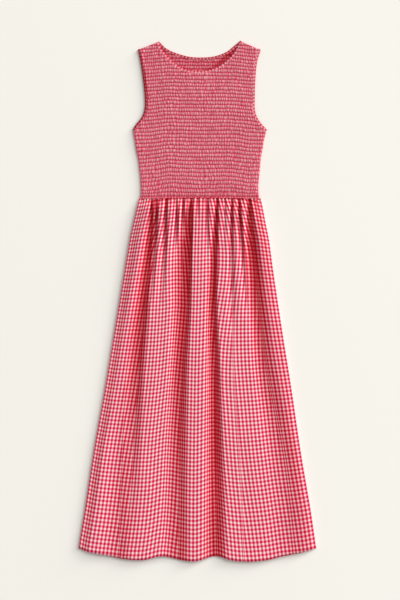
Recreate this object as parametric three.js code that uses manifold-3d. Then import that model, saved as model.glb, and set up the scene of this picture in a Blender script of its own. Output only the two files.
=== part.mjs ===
// Sleeveless smocked dress in fine red and white gingham, laid out flat on its back.
// Millimetres. X runs across the dress, Y from the hem up to the neck, and Z up from
// the surface that it lies on. The origin is the middle of the dress, on that surface.
// The two back pieces lie on the surface and the two front pieces lie on them.
import * as THREE from 'three';
import { mergeVertices } from 'three/addons/utils/BufferGeometryUtils.js';
import Module from 'manifold-3d';

const wasm = await Module();
wasm.setup();

// Clearance between pieces, and the thickness of the walls.
const GAP = 0.3;
const BACK_WALL = 2;
const SKIRT_WALL = 1.2;
const BODICE_WALL = 1.9;
const ROUND_EDGE = 7;

// Shirring rows: each row is a stitched groove, with a puff of cloth up to the next.
const SHIRR_ROWS = 42;
const SHIRR_TOP = 618.5;
const SHIRR_BOTTOM = 247.4;
const SHIRR_OPENING = 1.09;
const SHIRR_ARCH = 4;
const SHIRR_ARCH_HALF = 150;
const PUFF_HEIGHT = 1.5;
const PUFF_LOW = 0.55;
const PUFF_PITCH = 9;
const BACK_GROOVE = 0.6;
const BACK_GROOVES_ABOVE = 540;

// Waist seam, which falls a little towards the sides, and the hem's corners.
const WAIST_Y = 246.7;
const WAIST_DROP = 3;
const WAIST_MIDDLE = 5.2;
const WAIST_HALF = 146;
const WAIST_STEPS = 12;
const HEM_CORNER_Y = -593;

// Ridges of the gathers: height just below the waist seam and at the hem, the share of it
// right at the seam, and the low round roll along the side seams.
const RIDGE_WAIST = 11.5;
const RIDGE_HEM = 5;
const RIDGE_FADE = 0.24;
const RIDGE_START = 0.35;
const RIDGE_START_SPAN = 0.035;
const SIDE_ROLL = 28;
const SIDE_HEIGHT = 8;
const SIDE_FLAT_WAIST = 70;
const SIDE_FLAT_HEM = 120;
const SIDE_MARGIN = 5;
const SKIRT_ROWS = 17;
const SKIRT_ROW_POWER = 1.6;
const MAX_SLANT = 2.4;

// Folds of the back skirt stand up into six of the front's ridges, numbered from the left.
const BACK_FOLD_RIDGES = [3, 4, 8, 9, 10, 13];
const BACK_FOLD_SHARE = 0.55;
const BACK_FOLD_REACH = 0.5;
const BACK_HEM_SHORTER = 3;

// Binding round the neck and the armholes.
const BINDING_WIDTH = 5.6;
const BINDING_HALF = 0.95;
const BINDING_BACK_Z = 1.05;
const BINDING_FRONT_Z = 3.35;
const BINDING_STEPS = 18;
const TURN_STEPS = 5;
const PANEL_INSET = BINDING_WIDTH + GAP;

const FRONT_Z = BACK_WALL + GAP;
const CENTRE_SHIFT = new THREE.Vector2(0.5, 0.43);

// Side seams of the bodice, from the waist up to the underarms.
const BODICE_SIDES = [
  { y: 243, left: -138.5, right: 149 },
  { y: 252, left: -137, right: 146.6 },
  { y: 266, left: -136.2, right: 145.3 },
  { y: 290, left: -137.4, right: 146.3 },
  { y: 314, left: -139.6, right: 149 },
  { y: 338, left: -142.6, right: 151 },
  { y: 362, left: -147.6, right: 155.2 },
  { y: 386, left: -151.6, right: 159.4 },
  { y: 411, left: -155.4, right: 165 },
];

// Armhole edges, from the underarms up to the shoulder tips.
const ARMHOLES = [
  { y: 411, left: -155.4, right: 165 },
  { y: 424, left: -147.4, right: 153.4 },
  { y: 440, left: -134.6, right: 142.6 },
  { y: 458, left: -127.8, right: 137.2 },
  { y: 484, left: -126.6, right: 136.6 },
  { y: 530, left: -131.2, right: 138 },
  { y: 572, left: -137.2, right: 142.2 },
  { y: 601.5, left: -143.2, right: 150.6 },
];

// Neck edges, from the left shoulder round to the right one.
const FRONT_NECK = [
  { x: -91.8, y: 621 },
  { x: -88, y: 606 },
  { x: -74, y: 589 },
  { x: -56, y: 571 },
  { x: -35, y: 557.4 },
  { x: -10, y: 551.8 },
  { x: 18, y: 552.4 },
  { x: 44, y: 559.6 },
  { x: 68, y: 575.4 },
  { x: 87, y: 596 },
  { x: 101.2, y: 623.4 },
];
const BACK_NECK = [
  { x: -91.8, y: 621 },
  { x: -76, y: 606 },
  { x: -52, y: 594.4 },
  { x: -20, y: 585.8 },
  { x: 8, y: 584 },
  { x: 40, y: 586.8 },
  { x: 70, y: 598 },
  { x: 88, y: 612.6 },
  { x: 101.2, y: 623.4 },
];

// Side seams of the skirt, from the waist down to the hem's corners.
const SKIRT_SIDES = [
  { y: 243.7, left: -141, right: 151.4 },
  { y: 226, left: -144.8, right: 155.4 },
  { y: 182, left: -155.2, right: 163.8 },
  { y: 146, left: -162.6, right: 171 },
  { y: 74, left: -174.6, right: 180.8 },
  { y: -70, left: -198.6, right: 202.4 },
  { y: -214, left: -222.6, right: 225.4 },
  { y: -358, left: -248.4, right: 246.6 },
  { y: -500, left: -270.2, right: 270.6 },
  { y: -574, left: -282.4, right: 281.4 },
  { y: -593, left: -285, right: 284 },
];

// Fall of the hem below its corners, by the share of the way across.
const HEM_FALL = [
  { across: 0, fall: 0 },
  { across: 0.04, fall: 9 },
  { across: 0.13, fall: 19 },
  { across: 0.19, fall: 25.5 },
  { across: 0.27, fall: 27.8 },
  { across: 0.35, fall: 19.5 },
  { across: 0.43, fall: 28 },
  { across: 0.49, fall: 31.4 },
  { across: 0.577, fall: 19 },
  { across: 0.64, fall: 28.8 },
  { across: 0.71, fall: 32.4 },
  { across: 0.79, fall: 28.5 },
  { across: 0.86, fall: 19 },
  { across: 0.945, fall: 9.5 },
  { across: 1, fall: 0 },
];

// Valleys between the gathers, from left to right: the place of each crease at seven levels
// from the waist to the hem, its depth at the same levels, and at four levels the widths of
// its long left slope and of its steep right wall.
const LEVELS = [0, 0.06, 0.15, 0.3, 0.48, 0.76, 1];
const SLOPE_LEVELS = [0, 0.15, 0.48, 1];
const VALLEYS = [
  {
    at: [-128, -130, -138, -152, -172, -184, -190],
    depth: [0, 0, 0, 0, 0.05, 0.24, 0.27],
    left: [8, 10, 30, 50],
    right: [8, 10, 30, 40],
  },
  {
    at: [-110, -110, -115, -128, -142, -158, -170],
    depth: [1, 0.95, 0.98, 0.88, 0.62, 0.12, 0],
    left: [4, 22, 46, 60],
    right: [4, 14, 40, 50],
  },
  {
    at: [-98, -99, -105, -115, -128, -146, -157],
    depth: [0.75, 0.85, 0.35, 0, 0, 0, 0],
    left: [8, 10, 12, 12],
    right: [4, 9, 12, 12],
  },
  {
    at: [-74, -75, -78, -88, -101, -117, -125],
    depth: [0.7, 0.8, 0.5, 0.03, 0, 0, 0],
    left: [6, 15, 20, 20],
    right: [3, 6, 10, 10],
  },
  {
    at: [-50, -50, -54, -62, -72, -84, -92],
    depth: [0.38, 0.4, 0.08, 0, 0, 0, 0],
    left: [5, 12, 14, 20],
    right: [3, 9, 12, 15],
  },
  {
    at: [-34, -33, -37, -44, -56, -68, -72],
    depth: [0.42, 0.7, 0.4, 0, 0, 0, 0],
    left: [6, 16, 16, 16],
    right: [3, 7, 10, 10],
  },
  {
    at: [-15, -15, -17, -21, -35, -47, -49],
    depth: [0.95, 1, 1, 0.96, 0.84, 0.58, 0.48],
    left: [7, 46, 46, 66],
    right: [3.5, 8, 44, 46],
  },
  {
    at: [1, 0, -3, -6, -12, -16, -18],
    depth: [0.08, 0, 0, 0, 0, 0, 0],
    left: [5, 6, 8, 8],
    right: [4, 6, 8, 8],
  },
  {
    at: [24, 24, 24, 22, 20, 18, 18],
    depth: [0.7, 0.45, 0.12, 0, 0, 0, 0],
    left: [5, 9, 12, 12],
    right: [3, 6, 8, 8],
  },
  {
    at: [47.5, 47.5, 46, 44, 44, 42, 44],
    depth: [1, 1, 1, 1, 0.98, 0.92, 0.72],
    left: [6, 19, 26, 38],
    right: [3, 6, 34, 70],
  },
  {
    at: [66, 65, 62, 61, 66, 74, 80],
    depth: [0.22, 0.05, 0, 0, 0, 0, 0],
    left: [5, 6, 8, 8],
    right: [4, 6, 8, 8],
  },
  {
    at: [83, 83, 83, 82, 84, 100, 108],
    depth: [0.8, 0.76, 0.56, 0.38, 0.08, 0, 0],
    left: [6, 12, 18, 16],
    right: [3, 6, 22, 30],
  },
  {
    at: [100, 103, 109, 118, 131, 148, 158],
    depth: [0.92, 0.92, 0.6, 0.2, 0.03, 0, 0],
    left: [7, 12, 15, 15],
    right: [3.5, 7, 10, 10],
  },
  {
    at: [125, 127, 133, 144, 162, 208, 224],
    depth: [0.95, 1, 0.98, 0.72, 0.46, 0.28, 0.2],
    left: [9, 26, 36, 70],
    right: [4, 20, 34, 50],
  },
];
const EDGE_COLUMNS = 4;

// Colours of the two weaves and the binding, seen from a distance.
const SKIRT_COLOUR = 0xe0768a;
const BODICE_COLOUR = 0xcd6976;
const BINDING_COLOUR = 0xc8405c;
const CLOTH_ROUGHNESS = 0.85;

const { clamp, lerp, smoothstep } = THREE.MathUtils;

// Reads one column of a table at a place on its key column, on a smooth curve.
function readTable(rows, key, column, place) {
  const last = rows.length - 1;
  const rising = rows[last][key] > rows[0][key];
  let row = 0;
  while (row < last - 1 && (rising ? place > rows[row + 1][key] : place < rows[row + 1][key])) {
    row += 1;
  }
  const before = Math.max(row - 1, 0);
  const after = Math.min(row + 2, last);
  const slope = (a, b) => (rows[b][column] - rows[a][column]) / (rows[b][key] - rows[a][key]);
  const span = rows[row + 1][key] - rows[row][key];
  const t = clamp((place - rows[row][key]) / span, 0, 1);
  const t2 = t * t;
  const t3 = t2 * t;
  return (2 * t3 - 3 * t2 + 1) * rows[row][column]
    + (t3 - 2 * t2 + t) * span * slope(before, row + 1)
    + (3 * t2 - 2 * t3) * rows[row + 1][column]
    + (t3 - t2) * span * slope(row, after);
}

// Makes a geometry of loose points and triangles, with its faces turned outwards.
function solidGeometry(points, triangles) {
  let volume = 0;
  for (const [a, b, c] of triangles) {
    volume += points[a].dot(new THREE.Vector3().crossVectors(points[b], points[c]));
  }
  const index = [];
  for (const [a, b, c] of triangles) {
    index.push(...(volume > 0 ? [a, b, c] : [a, c, b]));
  }
  const geometry = new THREE.BufferGeometry();
  const positions = points.flatMap((point) => [point.x, point.y, point.z]);
  geometry.setAttribute('position', new THREE.Float32BufferAttribute(positions, 3));
  geometry.setIndex(index);
  return geometry;
}

// Closes two grids of points, one above the other, into a wall with a rim all round.
function wallGeometry(upper, lower) {
  const rows = upper.length;
  const columns = upper[0].length;
  const points = [...upper.flat(), ...lower.flat()];
  const top = (row, column) => row * columns + column;
  const under = (row, column) => rows * columns + top(row, column);
  const triangles = [];
  const quad = (a, b, c, d) => {
    triangles.push([a, b, c], [a, c, d]);
  };
  for (let row = 0; row < rows - 1; row += 1) {
    for (let column = 0; column < columns - 1; column += 1) {
      quad(top(row, column), top(row + 1, column), top(row + 1, column + 1), top(row, column + 1));
      quad(under(row, column), under(row, column + 1), under(row + 1, column + 1), under(row + 1, column));
    }
    quad(top(row, 0), under(row, 0), under(row + 1, 0), top(row + 1, 0));
    const end = columns - 1;
    quad(top(row, end), top(row + 1, end), under(row + 1, end), under(row, end));
  }
  for (let column = 0; column < columns - 1; column += 1) {
    const end = rows - 1;
    quad(top(0, column), top(0, column + 1), under(0, column + 1), under(0, column));
    quad(top(end, column), under(end, column), under(end, column + 1), top(end, column + 1));
  }
  return solidGeometry(points, triangles);
}

// Closes a grid of points with straight sides down to one plain, level underside.
function slabGeometry(upper, underside) {
  const rows = upper.length;
  const columns = upper[0].length;
  const points = upper.flat();
  const triangles = [];
  for (let row = 0; row < rows - 1; row += 1) {
    for (let column = 0; column < columns - 1; column += 1) {
      const corner = row * columns + column;
      triangles.push([corner, corner + columns, corner + columns + 1]);
      triangles.push([corner, corner + columns + 1, corner + 1]);
    }
  }
  const rim = [];
  for (let row = 0; row < rows - 1; row += 1) {
    rim.push(row * columns);
  }
  for (let column = 0; column < columns - 1; column += 1) {
    rim.push((rows - 1) * columns + column);
  }
  for (let row = rows - 1; row > 0; row -= 1) {
    rim.push(row * columns + columns - 1);
  }
  for (let column = columns - 1; column > 0; column -= 1) {
    rim.push(column);
  }
  const foot = points.length;
  const middle = new THREE.Vector3();
  for (const corner of rim) {
    points.push(points[corner].clone().setZ(underside));
    middle.addScaledVector(points[corner], 1 / rim.length);
  }
  points.push(middle.setZ(underside));
  rim.forEach((corner, i) => {
    const next = (i + 1) % rim.length;
    triangles.push([corner, foot + i, foot + next], [corner, foot + next, rim[next]]);
    triangles.push([foot + next, foot + i, foot + rim.length]);
  });
  return solidGeometry(points, triangles);
}

// Y of the waist seam.
function waistY(x) {
  return WAIST_Y - WAIST_DROP * ((x - WAIST_MIDDLE) / WAIST_HALF) ** 2;
}

// Value of a list at a level, on a smooth curve through the list's own levels.
function atLevel(levels, values, level) {
  const rows = levels.map((place, i) => ({ place, value: values[i] }));
  return readTable(rows, 'place', 'value', level);
}

// The valleys as they are at one level: place, depth and the widths of the two slopes.
function valleysAt(level) {
  return VALLEYS.map((valley) => ({
    x: atLevel(LEVELS, valley.at, level),
    depth: clamp(atLevel(LEVELS, valley.depth, level), 0, 1),
    left: atLevel(SLOPE_LEVELS, valley.left, level),
    right: atLevel(SLOPE_LEVELS, valley.right, level),
  }));
}

// Places across the skirt where its grid has a column: at each valley, at the top of the
// valley's two slopes, part of the way up the left one and in the middle of each ridge.
function skirtColumns(valleys, left, right) {
  const columns = [];
  const add = (kind, ridge, x) => columns.push({ kind, ridge, x });
  const addSide = (ridge, from, to) => {
    for (let i = 0; i <= EDGE_COLUMNS; i += 1) {
      add('side', ridge, lerp(from, to, i / EDGE_COLUMNS));
    }
  };
  const count = valleys.length;
  addSide(0, left, Math.max(valleys[0].x - valleys[0].left, left + SIDE_MARGIN));
  add('valley', 0, valleys[0].x);
  for (let i = 1; i < count; i += 1) {
    const [before, after] = [valleys[i - 1], valleys[i]];
    const gap = after.x - before.x;
    const start = before.x + Math.min(before.right, 0.4 * gap);
    const stop = after.x - Math.min(after.left, 0.4 * gap);
    add('slope', i, start);
    add('crest', i, (start + stop) / 2);
    add('slope', i, stop);
    add('slope', i, lerp(stop, after.x, 0.6));
    add('valley', i, after.x);
  }
  const end = valleys[count - 1];
  addSide(count, Math.min(end.x + end.right, right - SIDE_MARGIN), right);
  return columns;
}

// Height of the front skirt's ridges above its valleys.
function ridgeHeight(level) {
  const settled = RIDGE_HEM + (RIDGE_WAIST - RIDGE_HEM) * Math.exp(-level / RIDGE_FADE);
  return settled * lerp(RIDGE_START, 1, smoothstep(level, 0, RIDGE_START_SPAN));
}

// Share of the ridge height that the valleys take away at one place. The left slope falls
// in an eased step and then runs level to the crease, and the right wall rises steeply.
function valleyShare(x, valleys) {
  let share = 0;
  for (const valley of valleys) {
    const onLeft = x < valley.x;
    const reach = clamp(Math.abs(x - valley.x) / (onLeft ? valley.left : valley.right), 0, 1);
    const fall = onLeft ? 1 - smoothstep(reach, 0.25, 1) : (1 - reach) ** 2 * (1 + 0.6 * reach);
    share = Math.max(share, Math.sqrt(valley.depth) * fall);
  }
  return share;
}

// Height of the front skirt above its valleys at one place: a low round roll along the side
// seams, and the ridges' full height further in.
function skirtRise(x, level, valleys, fromSide) {
  const height = ridgeHeight(level);
  const low = Math.min(SIDE_HEIGHT, height);
  const roll = Math.sin(Math.min(fromSide / SIDE_ROLL, 1) * Math.PI / 2);
  const fullness = smoothstep(fromSide, 0, lerp(SIDE_FLAT_WAIST, SIDE_FLAT_HEM, level));
  return (low * roll + (height - low) * fullness) * (1 - valleyShare(x, valleys));
}

// Level down the skirt of each row of its grid, close together at the gathers.
function skirtLevel(row) {
  return (row / SKIRT_ROWS) ** SKIRT_ROW_POWER;
}

// Y of the skirt at one place: the waist seam at level 0 and the hem at level 1.
function skirtY(across, level, hemShorter) {
  const waist = waistY(lerp(SKIRT_SIDES[0].left, SKIRT_SIDES[0].right, across));
  const hem = HEM_CORNER_Y - readTable(HEM_FALL, 'across', 'fall', across) + hemShorter;
  return lerp(waist, hem, level);
}

// Rows of places on the skirt, each with its share of the way across and down.
function skirtGrid(hemShorter) {
  const rows = [];
  for (let row = 0; row <= SKIRT_ROWS; row += 1) {
    const level = skirtLevel(row);
    const sideY = lerp(WAIST_Y - WAIST_DROP, HEM_CORNER_Y, level);
    const left = readTable(SKIRT_SIDES, 'y', 'left', sideY);
    const right = readTable(SKIRT_SIDES, 'y', 'right', sideY);
    const valleys = valleysAt(level);
    rows.push(skirtColumns(valleys, left, right).map((column) => {
      const across = (column.x - left) / (right - left);
      const fromSide = Math.min(column.x - left, right - column.x);
      const rise = skirtRise(column.x, level, valleys, fromSide);
      return { ...column, y: skirtY(across, level, hemShorter), level, rise };
    }));
  }
  return rows;
}

// The front skirt: ridges and valleys over the back skirt, rolled down to the side seams.
function frontSkirtGeometry() {
  const floor = SKIRT_WALL + GAP;
  const upper = skirtGrid(0).map((row) => row.map((place) => (
    new THREE.Vector3(place.x, place.y, floor + SKIRT_WALL + place.rise)
  )));
  const lower = upper.map((row) => row.map((point, column) => {
    const before = row[Math.max(column - 1, 0)];
    const after = row[Math.min(column + 1, row.length - 1)];
    const slant = Math.hypot(1, (after.z - before.z) / (after.x - before.x));
    const depth = SKIRT_WALL * Math.min(slant, MAX_SLANT);
    return new THREE.Vector3(point.x, point.y, Math.max(point.z - depth, floor));
  }));
  return wallGeometry(upper, lower);
}

// The back skirt: flat on the surface, with folds of its own that stand up into some of
// the front's ridges and fade out lower down.
function backSkirtGeometry() {
  const keptRow = (row, i) => i < 4 || i % 2 === 1;
  const keptPlace = (place) => (
    ['side', 'valley'].includes(place.kind) || BACK_FOLD_RIDGES.includes(place.ridge)
  );
  const rows = skirtGrid(BACK_HEM_SHORTER).filter(keptRow).map((row) => row.filter(keptPlace));
  const fold = (place) => {
    const kept = 1 - smoothstep(place.level, 0, BACK_FOLD_REACH);
    return place.kind === 'crest' ? BACK_FOLD_SHARE * place.rise * kept : 0;
  };
  const upper = rows.map((row) => row.map((place) => (
    new THREE.Vector3(place.x, place.y, SKIRT_WALL + fold(place))
  )));
  const lower = rows.map((row) => row.map((place) => new THREE.Vector3(place.x, place.y, fold(place))));
  return wallGeometry(upper, lower);
}

// Y of a shirring row, counted from the shoulders. The rows open out towards the waist.
function shirrY(row, x) {
  const share = row / SHIRR_ROWS;
  const opened = (share + (SHIRR_OPENING - 1) * share * share) / SHIRR_OPENING;
  const arch = SHIRR_ARCH * (1 - (x / SHIRR_ARCH_HALF) ** 2);
  return lerp(SHIRR_TOP, SHIRR_BOTTOM, opened) + arch;
}

// Edge of a bodice panel on one side at a height, seam and armhole together.
function bodiceEdge(side, y) {
  const table = y < ARMHOLES[0].y ? BODICE_SIDES : ARMHOLES;
  return readTable(table, 'y', side, y);
}

// Share of the wall's full height near the side seams and the armholes, a round edge.
function edgeRound(x, y) {
  const left = x - bodiceEdge('left', y);
  const right = bodiceEdge('right', y) - x;
  const reach = clamp(Math.min(left, right) / ROUND_EDGE, 0, 1);
  return Math.sqrt(1 - (1 - reach) ** 2);
}

// Smooth curve through a table's points, as evenly spaced places with the direction from
// the garment's edge into the cloth, which lies on the right of the way along the curve.
function edgePlaces(rows, steps) {
  const curve = new THREE.CatmullRomCurve3(rows.map((row) => new THREE.Vector3(row.x, row.y, 0)));
  const places = [];
  for (let i = 0; i <= steps; i += 1) {
    const point = curve.getPointAt(i / steps);
    const along = curve.getTangentAt(i / steps);
    places.push({ point, along, inward: new THREE.Vector3(along.y, -along.x, 0) });
  }
  return places;
}

const armholeRows = (side) => ARMHOLES.map((row) => ({ x: row[side], y: row.y }));
const EDGES = {
  frontNeck: edgePlaces(FRONT_NECK, BINDING_STEPS),
  backNeck: edgePlaces(BACK_NECK, BINDING_STEPS),
  leftArmhole: edgePlaces(armholeRows('left'), BINDING_STEPS),
  rightArmhole: edgePlaces(armholeRows('right').reverse(), BINDING_STEPS),
};

// Outline of a bodice panel inside its bindings, from the waist round to the waist.
function bodiceOutline(neckEdge) {
  const inset = (place) => place.point.clone().addScaledVector(place.inward, PANEL_INSET);
  const sideRows = BODICE_SIDES.slice(1, -1);
  const seam = (side) => sideRows.map((row) => new THREE.Vector3(row[side], row.y, 0));
  const armhole = (edge) => edge.map(inset).filter((point) => (
    point.x > bodiceEdge('left', point.y) && point.x < bodiceEdge('right', point.y)
  ));
  const waist = [];
  for (let i = 0; i <= WAIST_STEPS; i += 1) {
    const x = lerp(BODICE_SIDES[0].right, BODICE_SIDES[0].left, i / WAIST_STEPS);
    waist.push(new THREE.Vector3(x, waistY(x) + GAP, 0));
  }
  return [
    ...seam('left'),
    ...armhole(EDGES.leftArmhole),
    ...neckEdge.map(inset),
    ...armhole(EDGES.rightArmhole),
    ...seam('right').reverse(),
    ...waist,
  ];
}

// Turns a closed geometry into a solid that can be cut.
function asSolid(geometry) {
  geometry.deleteAttribute('normal');
  geometry.deleteAttribute('uv');
  const merged = mergeVertices(geometry, 1e-4);
  return new wasm.Manifold(new wasm.Mesh({
    numProp: 3,
    vertProperties: new Float32Array(merged.attributes.position.array),
    triVerts: new Uint32Array(merged.index.array),
  }));
}

// Cuts a slab of cloth to a panel's outline.
function cutToOutline(slab, outline) {
  const shape = new THREE.Shape(outline.map((point) => new THREE.Vector2(point.x, point.y)));
  const prism = new THREE.ExtrudeGeometry(shape, { depth: 40, bevelEnabled: false, steps: 1 });
  prism.translate(0, 0, -10);
  const cut = asSolid(slab).intersect(asSolid(prism)).getMesh();
  const geometry = new THREE.BufferGeometry();
  geometry.setAttribute('position', new THREE.BufferAttribute(new Float32Array(cut.vertProperties), 3));
  geometry.setIndex(new THREE.BufferAttribute(new Uint32Array(cut.triVerts), 1));
  return geometry;
}

// Slab of cloth over the whole bodice: one grid row for each row number given, and a plain
// underside. The height of its upper face comes from a function of the grid and the place.
function bodiceSlab(rowNumbers, pitch, underside, height) {
  const from = BODICE_SIDES[BODICE_SIDES.length - 1].left - pitch;
  const to = BODICE_SIDES[BODICE_SIDES.length - 1].right + pitch;
  const count = Math.ceil((to - from) / pitch);
  const upper = rowNumbers.map((row) => {
    const points = [];
    for (let column = 0; column <= count; column += 1) {
      const x = lerp(from, to, column / count);
      const y = shirrY(row, x);
      points.push(new THREE.Vector3(x, y, height(row, column, x, y)));
    }
    return points;
  });
  return slabGeometry(upper, underside);
}

// The front bodice: grooves at the stitched rows and puffs between them, high and low in
// turn like bricks, over a plain inside.
function frontBodiceGeometry() {
  const rowNumbers = [];
  for (let half = -2; half <= 2 * SHIRR_ROWS + 2; half += 1) {
    rowNumbers.push(half / 2);
  }
  const slab = bodiceSlab(rowNumbers, PUFF_PITCH, FRONT_Z, (row, column, x, y) => {
    const puffed = row % 1 !== 0;
    const brick = (Math.floor(row) + column) % 2 === 0 ? 1 : PUFF_LOW;
    const relief = puffed ? PUFF_HEIGHT * brick : 0;
    return FRONT_Z + lerp(0.6, 1, edgeRound(x, y)) * (BODICE_WALL + relief);
  });
  return cutToOutline(slab, bodiceOutline(EDGES.frontNeck));
}

// The back bodice: flat underneath, with its rows sunk into the inside where the neck
// shows it and a plain inside below that.
function backBodiceGeometry() {
  const rowNumbers = [];
  for (let row = -1; row <= SHIRR_ROWS + 1; row += shirrY(row, 0) > BACK_GROOVES_ABOVE ? 0.5 : 4) {
    rowNumbers.push(row);
  }
  rowNumbers.push(SHIRR_ROWS + 3);
  const slab = bodiceSlab(rowNumbers, 2 * PUFF_PITCH, 0, (row, column, x, y) => {
    const grooved = row % 1 === 0 && y > BACK_GROOVES_ABOVE;
    return BACK_WALL - (grooved ? BACK_GROOVE : 0);
  });
  return cutToOutline(slab, bodiceOutline(EDGES.backNeck));
}

// A bound edge: one flat strip that runs along the front edge, turns over at its end and
// comes back along the back edge, a closed ring round the opening.
function bindingGeometry(frontEdge, backEdge) {
  const up = new THREE.Vector3(0, 0, 1);
  const middleZ = (BINDING_FRONT_Z + BINDING_BACK_Z) / 2;
  const radius = (BINDING_FRONT_Z - BINDING_BACK_Z) / 2;
  const frames = [];
  const straight = (places, z, facing) => {
    for (const place of places) {
      const centre = place.point.clone().setZ(z);
      frames.push({ centre, inward: place.inward, facing: up.clone().multiplyScalar(facing) });
    }
  };
  const turn = (from, to, side) => {
    const outward = from.along.clone().add(to.along).normalize().multiplyScalar(side);
    for (let i = 1; i < TURN_STEPS; i += 1) {
      const angle = Math.PI * i / TURN_STEPS;
      const facing = outward.clone().multiplyScalar(Math.sin(angle))
        .addScaledVector(up, side * Math.cos(angle));
      const centre = from.point.clone().lerp(to.point, i / TURN_STEPS).setZ(middleZ)
        .addScaledVector(facing, radius);
      const inward = from.inward.clone().lerp(to.inward, i / TURN_STEPS).normalize();
      frames.push({ centre, inward, facing });
    }
  };
  const last = frontEdge.length - 1;
  straight(frontEdge, BINDING_FRONT_Z, 1);
  turn(frontEdge[last], backEdge[last], 1);
  straight([...backEdge].reverse(), BINDING_BACK_Z, -1);
  turn(backEdge[0], frontEdge[0], -1);

  // Section of the strip: across it from the edge inwards, and up through it.
  const section = [
    [0.9, -BINDING_HALF],
    [0, -0.4 * BINDING_HALF],
    [0, 0.4 * BINDING_HALF],
    [0.9, BINDING_HALF],
    [BINDING_WIDTH, BINDING_HALF],
    [BINDING_WIDTH, -BINDING_HALF],
  ];
  const points = frames.flatMap((frame) => section.map(([across, through]) => (
    frame.centre.clone().addScaledVector(frame.inward, across).addScaledVector(frame.facing, through)
  )));
  const sides = section.length;
  const triangles = [];
  for (let i = 0; i < frames.length; i += 1) {
    const next = (i + 1) % frames.length;
    for (let side = 0; side < sides; side += 1) {
      const other = (side + 1) % sides;
      const [a, b] = [i * sides + side, next * sides + side];
      const [c, d] = [next * sides + other, i * sides + other];
      triangles.push([a, b, c], [a, c, d]);
    }
  }
  return solidGeometry(points, triangles);
}

// Names a piece and gives it its cloth.
function piece(name, geometry, colour) {
  const cloth = { color: colour, roughness: CLOTH_ROUGHNESS, metalness: 0 };
  const mesh = new THREE.Mesh(geometry, new THREE.MeshStandardMaterial(cloth));
  mesh.name = name;
  return mesh;
}

const group = new THREE.Group();
group.name = 'smocked_dress';
group.add(
  piece('back_skirt', backSkirtGeometry(), SKIRT_COLOUR),
  piece('back_bodice', backBodiceGeometry(), BODICE_COLOUR),
  piece('front_skirt', frontSkirtGeometry(), SKIRT_COLOUR),
  piece('front_bodice', frontBodiceGeometry(), BODICE_COLOUR),
  piece('neck_binding', bindingGeometry(EDGES.frontNeck, EDGES.backNeck), BINDING_COLOUR),
  piece('armhole_binding_left', bindingGeometry(EDGES.leftArmhole, EDGES.leftArmhole), BINDING_COLOUR),
  piece('armhole_binding_right', bindingGeometry(EDGES.rightArmhole, EDGES.rightArmhole), BINDING_COLOUR),
);
group.position.set(CENTRE_SHIFT.x, CENTRE_SHIFT.y, 0);

export default group;
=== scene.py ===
"""Sleeveless smocked dress in fine red and white gingham, laid out flat on a pale surface
and seen from straight above. Shapes are worked out in millimetres in the maker's own
layout (X across the dress, Y up to the neck, Z up from the surface) and scaled to metres
when they become meshes."""
import math

import bmesh
import bpy
import numpy as np
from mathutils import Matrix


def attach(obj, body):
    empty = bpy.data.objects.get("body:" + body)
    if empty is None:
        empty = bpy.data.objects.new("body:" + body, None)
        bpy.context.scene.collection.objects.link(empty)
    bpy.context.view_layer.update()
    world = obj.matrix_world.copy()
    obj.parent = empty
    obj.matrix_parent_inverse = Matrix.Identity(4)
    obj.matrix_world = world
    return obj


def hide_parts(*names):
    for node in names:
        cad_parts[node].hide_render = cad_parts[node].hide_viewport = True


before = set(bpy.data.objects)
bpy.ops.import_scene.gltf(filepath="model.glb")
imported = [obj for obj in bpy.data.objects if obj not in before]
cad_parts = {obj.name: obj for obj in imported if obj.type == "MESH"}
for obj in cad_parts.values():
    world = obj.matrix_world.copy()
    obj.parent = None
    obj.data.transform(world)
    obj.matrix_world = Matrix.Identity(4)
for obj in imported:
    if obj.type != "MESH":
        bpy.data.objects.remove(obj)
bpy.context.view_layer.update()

MM = 0.001
LATTICE = 128

# The layout is moved by this much to centre the dress.
LAY_SHIFT = (0.5, 0.43)

# Walls and clearances.
GAP = 0.3
BACK_WALL = 2.0
SKIRT_WALL = 1.2
BODICE_WALL = 1.9
FRONT_Z = BACK_WALL + GAP
SKIRT_FLOOR = SKIRT_WALL + GAP
ROUND_EDGE = 7.0
SIDE_EDGE_SHARE = 0.45
STITCH_DIP = 0.2
CLOTH_WALL = 0.9
SLANT_LIMIT = 2.4
LOWEST_TOP = 0.7

# Shirring rows, from the shoulders down to the waist seam.
SHIRR_ROWS = 42
SHIRR_TOP = 618.5
SHIRR_BOTTOM = 247.4
SHIRR_OPENING = 0.09
SHIRR_ARCH = 3.4
PUFF_HEIGHT = 1.25
PUFF_ROUND = 0.75
PUFF_FULL = 0.9
PUCKER_PITCH = 5.9
ROW_RIPPLES = {
    "fine": dict(seed=11, across=9, along=12, part=0.08),
    "wide": dict(seed=12, across=30, along=22, part=0.07, near_waist=0.2),
}
PUCKER_DRIFTS = (
    dict(seed=21, across=42, along=60, part=0.9),
    dict(seed=22, across=9, along=30, part=0.2),
)
PUCKER_OWN = dict(seed=23, across=9, along=1, part=0.55)
ROW_OFFSET = (31.7, 0.37)
GATHER = dict(depth=0.16, uneven=0.5, at_stitches=0.08)
PUFF_CHANCE = dict(seed=32, across=1, along=1, part=0.2)
PUFF_STREAK = dict(seed=33, across=1.1, along=12, part=0.3)
BACK_OFFSET = 200
BODICE_LUMPS = dict(seed=41, across=60, along=50, height=0.5)
FRONT_BODICE_GRID = (262, 296)
BACK_BODICE_GRID = (200, 220)
SIDE_TOP_Y = 411
SHOULDER_REACH = 20
FOOT_CLEAR = 0.1

# The inside of the back, which shows within the neck, and the plain height round it.
INSIDE_SHOWS = dict(y=(538, 546), x=(104, 92))
INSIDE_HEIGHT = 0.9
HIDDEN_HEIGHT = 1.7
LEAST_HEIGHT = 0.4

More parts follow.
